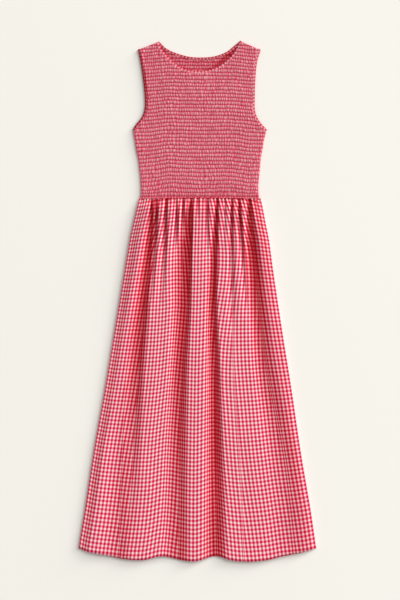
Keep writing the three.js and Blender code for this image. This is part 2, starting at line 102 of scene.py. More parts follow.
# Waist seam and hem.
WAIST_Y = 246.7
WAIST_DROP = 3.0
WAIST_MIDDLE = 5.2
WAIST_HALF = 146.0
HEM_CORNER_Y = -593.0
HEM_TURN = 11.0
HEM_STEP = 0.35
HEM_STEP_WIDTH = 1.5
HEM_ROUND = 0.5
SKIRT_LENGTH = 850
BACK_HEM_SHORTER = 3.0

# The skirt: the ridges of its gathers, its grid and the finer forms on it.
RIDGE_WAIST = 11.5
RIDGE_HEM = 5.0
RIDGE_FADE = 0.24
RIDGE_START = 0.35
RIDGE_START_SPAN = 0.035
SIDE_ROLL = 28.0
SIDE_HEIGHT = 8.0
LEFT_BAND_AT = 12.0
LEFT_BAND_HALF = 8.0
LEFT_BAND_DROP = 1.2
SIDE_FLAT_WAIST = 70.0
SIDE_FLAT_HEM = 120.0
SIDE_START = 0.48
SEAM_CLEAR = 5
SEAM_EASE = 12
SLOPE_LIMIT = 0.4
SLOPE_EASE_FROM = 0.25
WALL_BULGE = 0.6
EDGE_COLUMNS = 4
ROW_CROWDING = 1.35
FRONT_SKIRT_ROWS = 176
FRONT_SKIRT_STEPS = 4
BACK_SKIRT_ROWS = 90
BACK_SKIRT_STEPS = 2
BACK_FOLD_RIDGES = (3, 4, 8, 9, 10, 13)
BACK_FOLD_SHARE = 0.55
BACK_FOLD_REACH = 0.5
BACK_FOLD_HALF = 6.0
WAIST_PUCKERS = dict(seed=3, across=3, along=9, rows=90, checks=1.45, wobble=0.35, height=1.2,
                     fade=0.02)
WAIST_TEETH = dict(reach=1.7, middle=0.25, fade=0.005)
SWELLS = (
    dict(seed=5, across=46, along=150, height=0.5),
    dict(seed=6, across=17, along=70, height=0.25),
)

# Depth of painted shade in the folds, creases and edges, from 0 to 1.
WALL_SHADE_FROM = 0.3
WALL_SHADE_POWER = 0.7
SEAM_SHADE = dict(seed=8, across=24, along=60, line=0.2, line_fade=0.004, below=0.24,
                 fade=0.045, uneven=0.12)
RIGHT_SIDE_SHADE = dict(hem=0.15, waist=0.2, within=(6, 40))
LEFT_BAND_SHADE = 0.22
STITCH_SHADE = dict(low=0.22, high=0.45, between=(255, 360), power=1.5)
WAIST_ROW_SHADE = dict(tone=0.2, rows=2.5)
ARMHOLE_SHADE = dict(within=(6.5, 9), low=(425, 450), high=(570, 530))
INSIDE_SHADE = dict(all_over=0.18, stitches=0.6, neck=0.9, behind=0.8)
NECK_SHADOW = dict(left=0.15, right=1.0, between=(10, 75), narrow=5, wide=17, widens=(10, 88))

# Bindings.
BINDING_WIDTH = 5.6
BINDING_HALF = 0.95
BINDING_BACK_Z = 1.12
BINDING_FRONT_Z = 3.35
BINDING_STEPS = 150
BINDING_TURN_STEPS = 7
BINDING_HALF_SIDES = 11
BINDING_RIPPLE_PITCH = 5.6
BINDING_RIPPLE = 0.16
# Painted shade in the troughs of the binding's ripples.
BINDING_RIPPLE_SHADE = 0.12
BINDING_WOBBLE = dict(across=20, along=9, part=0.8)
BINDING_CHECKS_ACROSS = 0.6
PANEL_TUCK = 5.2

# One repeat of the gingham, a coloured and a white stripe, across and along the cloth.
CHECK_ACROSS = 8.3
CHECK_ALONG = 9.6
CHECKS_EACH_SIDE = 34.3
MIDDLE_COLUMN = 35

# Repeats hidden by the gathers. Down to the first level they lie in the creases, and from
# the second on a share of them lies on the slopes.
TUCKS_TO = 0.12
SLOPES_FROM = 0.55
SLOPE_SHARE = 0.5
STEEP_POWER = 1.6
LEFT_SLOPE_PART = 0.6
SIDE_PART = 0.08
SIDE_FADE = (45, 120)

# Part of a repeat that turns under at the left seam, and the droop of the rows at the sides.
SIDE_TURN_CHECKS = 0.8
SIDE_TURN = 22
DROOP_LEFT = dict(drop=11.0, span=0.35, power=1.3)
DROOP_RIGHT = dict(drop=9.5, span=0.25, power=1.5)

BODICE_SIDES = {
    "y": (243, 252, 266, 290, 314, 338, 362, 386, 411),
    "left": (-138.5, -137, -136.2, -137.4, -139.6, -142.6, -147.6, -151.6, -155.4),
    "right": (149, 146.6, 145.3, 146.3, 149, 151, 155.2, 159.4, 165),
}
ARMHOLES = {
    "y": (411, 424, 440, 458, 484, 530, 572, 601.5),
    "left": (-155.4, -147.4, -134.6, -127.8, -126.6, -131.2, -137.2, -143.2),
    "right": (165, 153.4, 142.6, 137.2, 136.6, 138, 142.2, 150.6),
}
FRONT_NECK = {
    "x": (-91.8, -88, -74, -56, -35, -10, 18, 44, 68, 87, 101.2),
    "y": (621, 606, 589, 571, 557.4, 551.8, 552.4, 559.6, 575.4, 596, 623.4),
}
BACK_NECK = {
    "x": (-91.8, -76, -52, -20, 8, 40, 70, 88, 101.2),
    "y": (621, 606, 594.4, 585.8, 584, 586.8, 598, 612.6, 623.4),
}
SKIRT_SIDES = {
    "y": (243.7, 226, 182, 146, 74, -70, -214, -358, -500, -574, -593),
    "left": (-141, -144.8, -155.2, -162.6, -174.6, -198.6, -222.6, -248.4, -270.2, -282.4, -285),
    "right": (151.4, 155.4, 163.8, 171, 180.8, 202.4, 225.4, 246.6, 270.6, 281.4, 284),
}
HEM_FALL = {
    "across": (0, 0.04, 0.13, 0.19, 0.27, 0.35, 0.43, 0.49, 0.577, 0.64, 0.71, 0.79, 0.86,
               0.945, 1),
    "fall": (0, 9, 19, 25.5, 27.8, 19.5, 28, 31.4, 19, 28.8, 32.4, 28.5, 19, 9.5, 0),
}

# Valleys between the gathers. Each has the place of its crease at seven levels, from the
# waist to the hem, its depth at the same levels, and at four levels the widths of its long
# left slope and of its steep right wall. Its painted shade can reach further left than the
# slope, and its tuck, if given, is how much cloth it hides against the others in place of its
# depth.
LEVELS = (0, 0.06, 0.15, 0.3, 0.48, 0.76, 1)
SLOPE_LEVELS = (0, 0.15, 0.48, 1)
VALLEYS = (
    dict(at=(-128, -130, -138, -152, -172, -184, -190), depth=(0, 0, 0, 0, 0.04, 0.16, 0.18),
         left=(8, 10, 30, 50), right=(8, 10, 30, 40)),
    dict(at=(-110, -110, -115, -128, -142, -158, -170), depth=(1, 0.95, 0.98, 0.88, 0.62, 0.12, 0),
         left=(4, 22, 40, 50), right=(4, 12, 18, 36), shade=1.15),
    dict(at=(-98, -99, -105, -115, -128, -146, -157), depth=(0.75, 0.85, 0.35, 0, 0, 0, 0),
         left=(8, 10, 12, 12), right=(4, 9, 12, 12)),
    dict(at=(-74, -75, -78, -88, -101, -117, -125), depth=(0.7, 0.75, 0.28, 0, 0, 0, 0),
         left=(6, 15, 20, 20), right=(3, 6, 10, 10)),
    dict(at=(-50, -50, -54, -62, -72, -84, -92), depth=(0.38, 0.4, 0.08, 0, 0, 0, 0),
         left=(5, 12, 14, 20), right=(3, 9, 12, 15)),
    dict(at=(-34, -33, -37, -44, -56, -68, -72), depth=(0.42, 0.6, 0.2, 0, 0, 0, 0),
         left=(6, 16, 16, 16), right=(3, 7, 10, 10)),
    dict(at=(-15, -15, -19, -26, -39, -46, -47), depth=(0.95, 1, 1, 0.96, 0.84, 0.52, 0.42),
         left=(7, 46, 38, 50), right=(3.5, 8, 20, 34)),
    dict(at=(1, 0, -3, -6, -12, -16, -18), depth=(0.08, 0, 0, 0, 0, 0, 0),
         left=(5, 6, 8, 8), right=(4, 6, 8, 8)),
    dict(at=(24, 24, 24, 22, 20, 18, 18), depth=(0.7, 0.35, 0.05, 0, 0, 0, 0),
         left=(5, 9, 12, 12), right=(3, 6, 8, 8)),
    dict(at=(47.5, 47, 44, 39.5, 42.5, 44, 43), depth=(1, 1, 1, 1, 0.98, 0.92, 0.72),
         left=(6, 19, 26, 34), right=(3, 6, 15, 32), shade=1.1,
         tuck=(0.7, 0.6, 0.5, 0.4, 0.3, 0.2, 0.1)),
    dict(at=(66, 65, 62, 61, 66, 74, 80), depth=(0.22, 0.05, 0, 0, 0, 0, 0),
         left=(5, 6, 8, 8), right=(4, 6, 8, 8)),
    dict(at=(83, 83, 83, 82, 84, 100, 108), depth=(0.8, 0.72, 0.34, 0.06, 0, 0, 0),
         left=(6, 12, 18, 16), right=(3, 6, 22, 30),
         tuck=(0.8, 0.8, 0.8, 0.8, 0.7, 0.5, 0.3)),
    dict(at=(100, 103, 109, 118, 131, 148, 158), depth=(0.92, 0.88, 0.42, 0.03, 0, 0, 0),
         left=(7, 12, 15, 15), right=(3.5, 7, 10, 10)),
    dict(at=(125, 127, 133, 144, 162, 208, 224), depth=(0.95, 1, 0.98, 0.72, 0.42, 0.2, 0.12),
         left=(9, 26, 36, 70), right=(4, 20, 34, 50)),
)

# Soft creases between the gathers: where they start and end, how high and how wide.
CREASES = (
    dict(x=(122, 136), level=(0.52, 0.86), height=0.8, width=15),
    dict(x=(-82, -88), level=(0.5, 1.02), height=-0.5, width=18),
    dict(x=(66, 96), level=(0.24, 0.56), height=0.7, width=12),
    dict(x=(-66, -76), level=(0.24, 0.5), height=0.8, width=10),
    dict(x=(4, 2), level=(0.3, 1.05), height=0.9, width=24),
    dict(x=(190, 214), level=(0.5, 0.95), height=0.5, width=18),
    dict(x=(-212, -238), level=(0.42, 0.9), height=0.5, width=14),
    dict(x=(-100, -116), level=(0.3, 0.7), height=0.5, width=12),
)

# Gingham rows counted down the middle of the skirt, and the pitch of its columns where the
# cloth lies flat, at the left side and at the right.
CHECK_ROWS = {
    "level": (0, 0.15, 0.45, 0.68, 0.83, 0.92, 1),
    "count": (0, 13.9, 41.1, 61.9, 75.1, 82.7, 89.4),
}
CHECK_PITCH = {
    "level": (0, 0.3, 0.62, 0.9, 1),
    "left": (7.7, 7.9, 8.5, 9.2, 9.25),
    "right": (7.7, 8.7, 9.0, 9.15, 9.15),
}

# Droop of the shirring rows across the bodice, near the shoulders and near the waist.
ROW_DROOP = {
    "x": (-150, -125, -100, -82, -70, -50, 0, 80, 100, 120, 145),
    "high": (3.6, 2.6, 0.7, -0.6, -0.8, -0.7, 0, -0.4, 1, 3, 6),
    "low": (5.6, 4.6, 2.4, -1.2, -2.4, -1.4, 0, 0.3, 2.2, 4.6, 6),
}

# Finishes: the red of each gingham, the tones of its coloured rows and coloured columns
# where they cross white, its white, and the tints of the painted shade in its folds.
SKIRT_CHECK = {
    "Red": (0.63, 0.0, 0.052, 1), "Row": (0.78, 0.235, 0.305, 1),
    "Column": (0.76, 0.17, 0.24, 1), "White": (0.865, 0.735, 0.695, 1),
}
BODICE_CHECK = {
    "Red": (0.60, 0.042, 0.096, 1), "Row": (0.70, 0.188, 0.252, 1),
    "Column": (0.68, 0.132, 0.20, 1), "White": (0.66, 0.338, 0.355, 1),
}
BINDING_CHECK = {
    "Red": (0.50, 0.005, 0.05, 1), "Row": (0.70, 0.18, 0.245, 1),
    "Column": (0.70, 0.16, 0.225, 1), "White": (0.82, 0.50, 0.50, 1),
}
FOLD_SHADE_TINT = (0.90, 0.27, 0.34, 1)
HALF_SHADE_TINT = (0.92, 0.935, 0.965, 1)
SHIRR_SHADE_TINT = (0.88, 0.54, 0.61, 1)
BINDING_SHADE_TINT = (0.74, 0.36, 0.42, 1)
PLAIN_TINT = (1, 1, 1, 1)
SHEEN_RED = (1.0, 0.35, 0.40, 1)
# Lit and shaded ends of the painted fall of light on the pale surface.
FLOOR_CREAM = (0.90, 0.882, 0.835, 1)
FLOOR_SHADED = (0.855, 0.838, 0.793, 1)

# How ragged the rows are, in repeats, and the height of the weave in metres.
ROW_RAGGED = 0.06
THREAD_HEIGHT = 0.00012

# How each gingham is drawn: how soft the edges of its stripes are, how much of a repeat is
# coloured across and along, how ragged its columns are and its threads to a repeat.
CLOTHS = {
    "skirt_gingham": dict(
        colours=SKIRT_CHECK, softness=0.03, column_share=0.56, row_share=0.53, ragged=0.06,
        threads=22.0, tint=FOLD_SHADE_TINT, half_tint=HALF_SHADE_TINT),
    "shirred_gingham": dict(
        colours=BODICE_CHECK, softness=0.12, column_share=0.5, row_share=0.42, ragged=0.5,
        threads=14.0, tint=SHIRR_SHADE_TINT, half_tint=PLAIN_TINT),
    "binding_gingham": dict(
        colours=BINDING_CHECK, softness=0.08, column_share=0.5, row_share=0.5, ragged=0.06,
        threads=22.0, tint=BINDING_SHADE_TINT, half_tint=PLAIN_TINT),
}


def smooth_step(value, low=0.0, high=1.0):
    """Rises from 0 at low to 1 at high with level ends: 3t squared less 2t cubed."""
    t = np.clip((value - low) / (high - low), 0, 1)
    return t * t * (3 - 2 * t)


def mix(a, b, share):
    """Straight line from a to b."""
    return a + (b - a) * share


def read_table(table, key, column, place):
    """Smooth curve through a table's rows: cubic pieces, and the slope at each row is that
    of the line between its two neighbours."""
    x = np.array(table[key], float)
    y = np.array(table[column], float)
    if x[0] > x[-1]:
        x, y = x[::-1], y[::-1]
    before = np.maximum(np.arange(len(x)) - 1, 0)
    after = np.minimum(np.arange(len(x)) + 1, len(x) - 1)
    slope = (y[after] - y[before]) / (x[after] - x[before])
    row = np.clip(np.searchsorted(x, place) - 1, 0, len(x) - 2)
    span = x[row + 1] - x[row]
    t = np.clip((place - x[row]) / span, 0, 1)
    ease = t * t * (3 - 2 * t)
    bend = t * (1 - t) * span * ((1 - t) * slope[row] - t * slope[row + 1])
    return mix(y[row], y[row + 1], ease) + bend


def both_sides(table, y):
    """Left and right edge of a table at each height."""
    return [read_table(table, "y", name, y) for name in ("left", "right")]


def running(steps):
    """Running sum that starts at nought."""
    return np.concatenate([[0], np.cumsum(steps)])


def wander(row, x, y):
    """Smooth noise from -1 to 1: seeded random numbers on a lattice of two pitches, with an
    eased blend between the four numbers round each place."""
    lattice = np.random.default_rng(row["seed"]).uniform(-1, 1, (LATTICE, LATTICE))
    fx, fy = np.broadcast_arrays(x / row["across"], y / row["along"])
    ix, iy = np.floor(fx).astype(int), np.floor(fy).astype(int)
    tx, ty = smooth_step(fx - ix), smooth_step(fy - iy)
    at = lambda i, j: lattice[i % LATTICE, j % LATTICE]
    low = mix(at(ix, iy), at(ix + 1, iy), tx)
    high = mix(at(ix, iy + 1), at(ix + 1, iy + 1), tx)
    return mix(low, high, ty)


def grid_faces(rows, columns, start=0):
    """Corner numbers of the faces of a grid whose rows run down the dress."""
    corner = (np.arange(rows - 1)[:, None] * columns + np.arange(columns - 1)).ravel() + start
    return np.stack([corner, corner + columns, corner + columns + 1, corner + 1], axis=1)


def rim_of(rows, columns):
    """Corner numbers once round a grid, anticlockwise seen from above."""
    down = np.arange(rows - 1) * columns
    across = (rows - 1) * columns + np.arange(columns - 1)
    up = np.arange(rows - 1, 0, -1) * columns + columns - 1
    back = np.arange(columns - 1, 0, -1)
    return np.concatenate([down, across, up, back])


def add_mesh(name, points, faces, corner_uv=None, underside=None, fields=None):
    """Mesh of points in millimetres and four-cornered faces, with one flat many-cornered
    underside if given, a UV map per face corner and named numbers per point."""
    mesh = bpy.data.meshes.new(name)
    placed = np.array(points, float)
    placed[:, :2] += LAY_SHIFT
    loops = faces.ravel()
    starts = np.arange(len(faces)) * 4
    totals = np.full(len(faces), 4)
    if underside is not None:
        starts = np.append(starts, len(loops))
        totals = np.append(totals, len(underside))
        loops = np.concatenate([loops, underside])
    mesh.vertices.add(len(placed))
    mesh.vertices.foreach_set("co", (placed * MM).ravel())
    mesh.loops.add(len(loops))
    mesh.loops.foreach_set("vertex_index", loops.astype(np.int32))
    mesh.polygons.add(len(starts))
    mesh.polygons.foreach_set("loop_start", starts.astype(np.int32))
    mesh.polygons.foreach_set("loop_total", totals.astype(np.int32))
    mesh.update(calc_edges=True)
    mesh.polygons.foreach_set("use_smooth", np.ones(len(starts), bool))
    if corner_uv is not None:
        uv = np.zeros((len(loops), 2))
        uv[: len(faces) * 4] = corner_uv.reshape(-1, 2)
        mesh.uv_layers.new(name="cloth").data.foreach_set("uv", uv.ravel())
    for field, values in (fields or {}).items():
        mesh.attributes.new(field, "FLOAT", "POINT").data.foreach_set("value", values.ravel())
    mesh.validate()
    piece = bpy.data.objects.new(name, mesh)
    bpy.context.scene.collection.objects.link(piece)
    return piece


def add_wall(name, x, y, top, low, uv, painted_shade, under):
    """Closed wall between two height fields over the same grid of places: the upper face,
    the lower face and a rim that joins them all round. The first painted shade is that of the
    upper face and under is that of the lower one."""
    rows, columns = x.shape
    count = rows * columns
    points = np.concatenate([np.stack([x, y, z], axis=-1).reshape(-1, 3) for z in (top, low)])
    upper = grid_faces(rows, columns)
    lower = grid_faces(rows, columns, count)[:, ::-1]
    rim = rim_of(rows, columns)
    following = np.roll(rim, -1)
    sides = np.stack([rim, rim + count, following + count, following], axis=1)
    faces = np.concatenate([upper, lower, sides])
    corner_uv = uv.reshape(-1, 2)[faces % count]
    fields = {"painted_shade": np.concatenate([painted_shade.ravel(), under.ravel()])}
    return add_mesh(name, points, faces, corner_uv, fields=fields)


def add_slab(name, x, y, top, low, uv, painted_shade):
    """Closed slab: a height field with a rim down to one flat underside at the height low."""
    rows, columns = x.shape
    count = rows * columns
    rim = rim_of(rows, columns)
    surface = np.stack([x, y, top], axis=-1).reshape(-1, 3)
    foot = surface[rim].copy()
    foot[:, 2] = low
    points = np.concatenate([surface, foot])
    ring = count + np.arange(len(rim))
    sides = np.stack([rim, ring, np.roll(ring, -1), np.roll(rim, -1)], axis=1)
    faces = np.concatenate([grid_faces(rows, columns), sides])
    flat_uv = np.concatenate([uv.reshape(-1, 2), uv.reshape(-1, 2)[rim]])
    painted_shades = np.concatenate([painted_shade.ravel(), painted_shade.ravel()[rim]])
    return add_mesh(name, points, faces, flat_uv[faces], ring[::-1], {"painted_shade": painted_shades})


def valley_value(valley, name, level, instead=None):
    """One of a valley's rows of values read at each level. A name that the valley lacks is
    read as the one given instead."""
    levels = SLOPE_LEVELS if name in ("left", "right") else LEVELS
    values = valley[name] if name in valley else valley[instead]
    return read_table({"level": levels, "value": values}, "level", "value", level)


def skirt_columns(level, left, right):
    """Places across the skirt that follow its folds, from side to side: each valley, the top
    of its two slopes and the middle of each ridge, with even steps out to the seams."""
    at = np.stack([valley_value(valley, "at", level) for valley in VALLEYS], axis=1)
    first = np.maximum(at[:, 0] - valley_value(VALLEYS[0], "left", level), left + SEAM_CLEAR)
    last = np.minimum(at[:, -1] + valley_value(VALLEYS[-1], "right", level), right - SEAM_CLEAR)
    columns = [mix(left, first, i / EDGE_COLUMNS) for i in range(EDGE_COLUMNS + 1)]
    columns.append(at[:, 0])
    for i in range(1, len(VALLEYS)):
        gap = at[:, i] - at[:, i - 1]
        rise = np.minimum(valley_value(VALLEYS[i - 1], "right", level), SLOPE_LIMIT * gap)
        fall = np.minimum(valley_value(VALLEYS[i], "left", level), SLOPE_LIMIT * gap)
        start, stop = at[:, i - 1] + rise, at[:, i] - fall
        columns += [start, (start + stop) / 2, stop, at[:, i]]
    columns += [mix(last, right, i / EDGE_COLUMNS) for i in range(EDGE_COLUMNS + 1)]
    return np.stack(columns, axis=1), at


def ridge_height(level):
    """Height of the ridges above the valleys: full just below the waist seam, and falling
    off evenly towards the hem."""
    settled = RIDGE_HEM + (RIDGE_WAIST - RIDGE_HEM) * np.exp(-level / RIDGE_FADE)
    return settled * mix(RIDGE_START, 1, smooth_step(level, 0, RIDGE_START_SPAN))


def valley_shares(x, level, at):
    """Share of the ridge height that the nearest valley takes away, and the depth of painted
    shade in it. The long left slope falls in an eased step and then runs level to the crease; the
    right wall rises steeply out of the crease and eases over. The painted shade grows as a cosine
    along the left slope up to the crease and fades over the right wall."""
    share, tone = np.zeros_like(x), np.zeros_like(x)
    for i, valley in enumerate(VALLEYS):
        depth = np.clip(valley_value(valley, "depth", level), 0, 1)
        away = x - at[:, i : i + 1]
        left = np.maximum(-away / valley_value(valley, "left", level), 0)
        right = np.clip(away / valley_value(valley, "right", level), 0, 1)
        slope_fall = 1 - smooth_step(left, SLOPE_EASE_FROM, 1)
        wall_fall = (1 - right) ** 2 * (1 + WALL_BULGE * right)
        share = np.maximum(share, np.sqrt(depth) * np.where(away < 0, slope_fall, wall_fall))
        shaded = np.minimum(left / valley.get("shade", 1), 1)
        slope_shade = depth * (1 + np.cos(np.pi * shaded)) / 2
        wall_shade = depth**WALL_SHADE_POWER * (1 - smooth_step(right, WALL_SHADE_FROM, 1))
        tone = np.maximum(tone, np.where(away < 0, slope_shade, wall_shade))
    return share, tone


def crease_height(x, level):
    """Soft ridges and troughs: a bell curve across each crease, eased in and out along it."""
    height = np.zeros_like(x)
    for crease in CREASES:
        start, stop = crease["level"]
        run = np.clip((level - start) / (stop - start), 0, 1)
        across = (x - mix(*crease["x"], run)) / crease["width"]
        height += crease["height"] * np.exp(-across * across) * np.sin(np.pi * run)
    return height


def waist_y(x):
    """Y of the waist seam, a shallow arch."""
    return WAIST_Y - WAIST_DROP * ((x - WAIST_MIDDLE) / WAIST_HALF) ** 2


def skirt_places(rows, steps, hem_shorter):
    """Grid over a skirt panel, with closer rows at the gathers: x, y, level, the valleys'
    places, the distance from the nearer side seam and the share of the way across."""
    level = (np.linspace(0, 1, rows) ** ROW_CROWDING)[:, None]
    side_y = mix(WAIST_Y - WAIST_DROP, HEM_CORNER_Y, level[:, 0])
    left, right = both_sides(SKIRT_SIDES, side_y)
    control, at = skirt_columns(level[:, 0], left, right)
    place = np.linspace(0, control.shape[1] - 1, (control.shape[1] - 1) * steps + 1)
    column = np.minimum(place.astype(int), control.shape[1] - 2)
    x = mix(control[:, column], control[:, column + 1], place - column)
    across = (x - left[:, None]) / (right - left)[:, None]
    top = waist_y(mix(SKIRT_SIDES["left"][0], SKIRT_SIDES["right"][0], across))
    hem = HEM_CORNER_Y - read_table(HEM_FALL, "across", "fall", across) + hem_shorter
    from_side = np.minimum(x - left[:, None], right[:, None] - x)
    return x, mix(top, hem, level), level, at, from_side, across


def left_band(from_side, across, level):
    """Share of the soft dip that runs down beside the left seam, where the side rolls over."""
    near = np.exp(-((from_side - LEFT_BAND_AT) / LEFT_BAND_HALF) ** 2)
    return near * (across < 0.5) * smooth_step(level, 0.0, 0.2)


def summed_from(middle, widths):
    """Running sum of numbers given for the cells across the skirt, nought at the middle."""
    run = np.concatenate([np.zeros((len(widths), 1)), np.cumsum(widths, axis=1)], axis=1)
    return run - run[:, middle : middle + 1]


def check_columns(x, level, share, from_side, steps):
    """Gingham repeats across the cloth, counted each way from the middle ridge. The count
    grows evenly along the cloth that shows, and what is left over is hidden in the valleys.
    Near the waist it lies tucked in at each crease, as deep as the valley is there. Towards
    the hem half of it is taken up by the slopes, most by the steepest and by the right
    walls, and little near the side seams."""
    middle = MIDDLE_COLUMN * steps
    step = np.diff(x, axis=1)
    tucked_in = np.zeros_like(step)
    for i, valley in enumerate(VALLEYS):
        crease = (EDGE_COLUMNS + 1 + 4 * i) * steps
        tucked_in[:, crease] = np.clip(valley_value(valley, "tuck", level[:, 0], "depth"), 0, 1)
    rise = np.diff(share, axis=1) / np.maximum(step, 0.2)
    sloped = np.abs(rise) ** STEEP_POWER * step * np.where(rise > 0, LEFT_SLOPE_PART, 1)
    sloped *= mix(SIDE_PART, 1, smooth_step(from_side[:, 1:], *SIDE_FADE))
    run, tucks, slopes = (summed_from(middle, widths) for widths in (step, tucked_in, sloped))
    spread = SLOPE_SHARE * smooth_step(level, TUCKS_TO, SLOPES_FROM)
    counts = []
    for side, end in (("left", 0), ("right", -1)):
        even = run / read_table(CHECK_PITCH, "level", side, level)
        spare = np.maximum(CHECKS_EACH_SIDE - np.abs(even[:, end]), 0)[:, None]
        in_tucks, on_slopes = (part / np.abs(part[:, end])[:, None] for part in (tucks, slopes))
        counts.append(even + spare * mix(in_tucks, on_slopes, spread))
    return np.where(run < 0, *counts)


def check_rows(level, across):
    """Gingham repeats down the skirt. The rows droop towards the side seams."""
    droop = 0
    for place, side in ((across, DROOP_LEFT), (1 - across, DROOP_RIGHT)):
        droop = droop + side["drop"] * np.clip(1 - place / side["span"], 0, 1) ** side["power"]
    return read_table(CHECK_ROWS, "level", "count", level) - droop / CHECK_ALONG


def crest_height(level, from_side):
    """Height of the cloth between the valleys: a low round roll at the side seams, and the
    ridges' full height further in."""
    roll = np.sin(np.minimum(from_side / SIDE_ROLL, 1) * np.pi / 2)
    full = smooth_step(from_side, 0, mix(SIDE_FLAT_WAIST, SIDE_FLAT_HEM, level))
    height = ridge_height(level)
    start = np.minimum(SIDE_HEIGHT, height)
    return start * mix(SIDE_START, 1, roll) + (height - start) * full


def waist_pucker(count, level):
    """Fine puckers under the waist seam: a sine over the count of checks with a wandering
    phase, which dies out down the skirt."""
    wobble = WAIST_PUCKERS["wobble"] * wander(WAIST_PUCKERS, count, level * WAIST_PUCKERS["rows"])
    wave = np.sin(2 * np.pi * (count / WAIST_PUCKERS["checks"] + wobble))
    return wave * (WAIST_PUCKERS["height"] * np.exp(-level / WAIST_PUCKERS["fade"]))


def hem_turn(level):
    """Height of the turned hem: a small step where it ends, and a rounded lower edge."""
    from_hem = (1 - level) * SKIRT_LENGTH
    step = HEM_STEP * smooth_step(from_hem, HEM_TURN + HEM_STEP_WIDTH, HEM_TURN)
    return step - HEM_ROUND * np.exp(-from_hem / HEM_STEP_WIDTH)


def seam_shade(x, y, level, from_side, across):
    """Painted shade under the waist seam, a dark line and an uneven fade below it, and painted
    shade along the right side seam, more of it near the waist."""
    line = SEAM_SHADE["line"] * np.exp(-level / SEAM_SHADE["line_fade"])
    below = SEAM_SHADE["below"] + SEAM_SHADE["uneven"] * wander(SEAM_SHADE, x, y)
    right_side = (across > 0.5) * (1 - smooth_step(from_side, *RIGHT_SIDE_SHADE["within"]))
    side_shade = RIGHT_SIDE_SHADE["hem"] + RIGHT_SIDE_SHADE["waist"] * (1 - level) ** 2
    return line + np.exp(-level / SEAM_SHADE["fade"]) * below + right_side * side_shade


def make_front_skirt():
    """The gathered front: valleys cut between ridges, fine puckers that die out below the
    waist seam, soft creases, a slow swell and a turned hem. Where it is steep the wall
    hangs lower under its upper face, so that it keeps its thickness."""
    x, y, level, at, from_side, across = skirt_places(FRONT_SKIRT_ROWS, FRONT_SKIRT_STEPS, 0)
    share, tone = valley_shares(x, level, at)
    rise = crest_height(level, from_side) * (1 - share)
    band = left_band(from_side, across, level)
    count = check_columns(x, level, share, from_side, FRONT_SKIRT_STEPS)
    count = count - SIDE_TURN_CHECKS * (across < 0.5) * smooth_step(from_side, SIDE_TURN, 2)
    pucker = waist_pucker(count, level)
    swell = sum(row["height"] * wander(row, x, y) for row in SWELLS)
    edge = smooth_step(from_side, 0, SEAM_EASE)
    loose = (pucker + swell + crease_height(x, level)) * edge * (1 - 0.7 * share)
    top = SKIRT_FLOOR + SKIRT_WALL + rise + loose + hem_turn(level) - LEFT_BAND_DROP * band
    top = np.maximum(top, SKIRT_FLOOR + LOWEST_TOP)
    teeth = WAIST_TEETH["reach"] * (pucker + WAIST_TEETH["middle"])
    y = y + teeth * (1 - share) * np.exp(-level / WAIST_TEETH["fade"])
    slant = np.hypot(1, np.gradient(top, axis=1) / np.gradient(x, axis=1))
    low = np.maximum(top - CLOTH_WALL * np.minimum(slant, SLANT_LIMIT), SKIRT_FLOOR)
    low = mix(SKIRT_FLOOR, low, smooth_step(from_side, 0, 4))
    uv = np.stack(np.broadcast_arrays(count, check_rows(level, across)), axis=-1)
    # Painted shade in the valleys, under the waist seam, along the right side and in the band
    # beside the left seam.
    shade = tone + seam_shade(x, y, level, from_side, across)
    painted_shade = np.clip(shade * edge + LEFT_BAND_SHADE * band, 0, 1)
    return add_wall("front_skirt_cloth", x, y, top, low, uv, painted_shade, painted_shade)


def make_back_skirt():
    """The back panel: flat underneath, with folds of its own standing up into some of the
    front's ridges near the waist."""
    x, y, level, at, from_side, across = skirt_places(
        BACK_SKIRT_ROWS, BACK_SKIRT_STEPS, BACK_HEM_SHORTER)
    share, _ = valley_shares(x, level, at)
    rise = crest_height(level, from_side) * (1 - share)
    middle = (at[:, 1:] + at[:, :-1]) / 2
    fold = np.zeros_like(x)
    for ridge in BACK_FOLD_RIDGES:
        reach = np.minimum(np.abs(x - middle[:, ridge - 1 : ridge]) / BACK_FOLD_HALF, 1)
        fold = np.maximum(fold, (1 + np.cos(np.pi * reach)) / 2)
    fold *= BACK_FOLD_SHARE * rise * (1 - smooth_step(level, 0, BACK_FOLD_REACH))
    count = check_columns(x, level, share, from_side, BACK_SKIRT_STEPS)
    uv = np.stack(np.broadcast_arrays(count, check_rows(level, across)), axis=-1)
    plain = np.zeros_like(fold)
    return add_wall("back_skirt_cloth", x, y, SKIRT_WALL + fold, fold, uv, plain, plain)


def edge_curve(table, count, ends=None):
    """Evenly spaced places on a smooth curve through a table's points, the direction along
    it, and the direction into the cloth, which lies on its right."""
    rows = {"x": np.array(table["x"], float), "y": np.array(table["y"], float)}
    steps = np.hypot(np.diff(rows["x"]), np.diff(rows["y"]))
    rows["run"] = running(steps)
    fine = np.linspace(0, rows["run"][-1], 800)
    x, y = (read_table(rows, "run", axis, fine) for axis in "xy")
    run = running(np.hypot(np.diff(x), np.diff(y)))
    even = np.linspace(0, run[-1], count)
    point = np.stack([np.interp(even, run, x), np.interp(even, run, y), 0 * even], axis=1)
    along = np.gradient(point, axis=0)
    along /= np.linalg.norm(along, axis=1, keepdims=True)
    inward = np.stack([along[:, 1], -along[:, 0], 0 * even], axis=1)
    return point, along, inward


def armhole_table(side, down):
    """Points of one armhole, in the order that keeps the cloth on the right."""
    order = slice(None, None, -1) if down else slice(None)
    return {"x": ARMHOLES[side][order], "y": ARMHOLES["y"][order]}


def tucked(table):
    """Edge of a panel under its binding: the garment's edge moved into the cloth."""
    point, _, inward = edge_curve(table, 200)
    return point + PANEL_TUCK * inward


